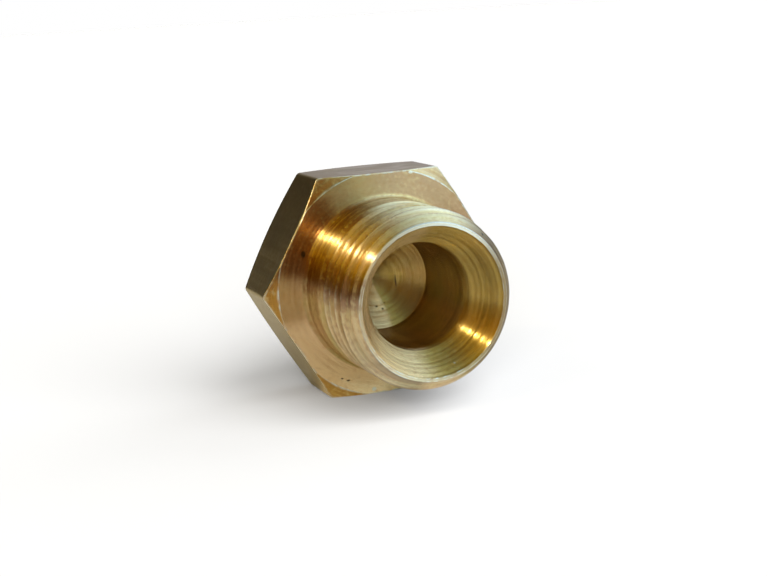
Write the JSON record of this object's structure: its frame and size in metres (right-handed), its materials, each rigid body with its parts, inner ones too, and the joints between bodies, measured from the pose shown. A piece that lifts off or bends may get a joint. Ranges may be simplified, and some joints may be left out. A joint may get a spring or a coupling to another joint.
{
  "type": "threaded plug",
  "caption": "Hexagon-head blanking plug with an external parallel pipe thread, a coned mouth and a blind bore, turned from one piece of plated steel.",
  "frame": {"origin": "on the plug's axis, in the plane of the head's face that seats on the port, which the blind bore crosses", "axes": "+X along the axis towards the threaded end, +Z square to one flat of the head, +Y towards a corner of the head"},
  "size_m": [0.0235, 0.031, 0.027],
  "materials": {
    "plated_steel": "turned steel, zinc plated and yellow passivated, satin with fine turning marks"
  },
  "bodies": {
    "root": {"threaded_plug": "plated_steel"}
  },
  "joints": []
}
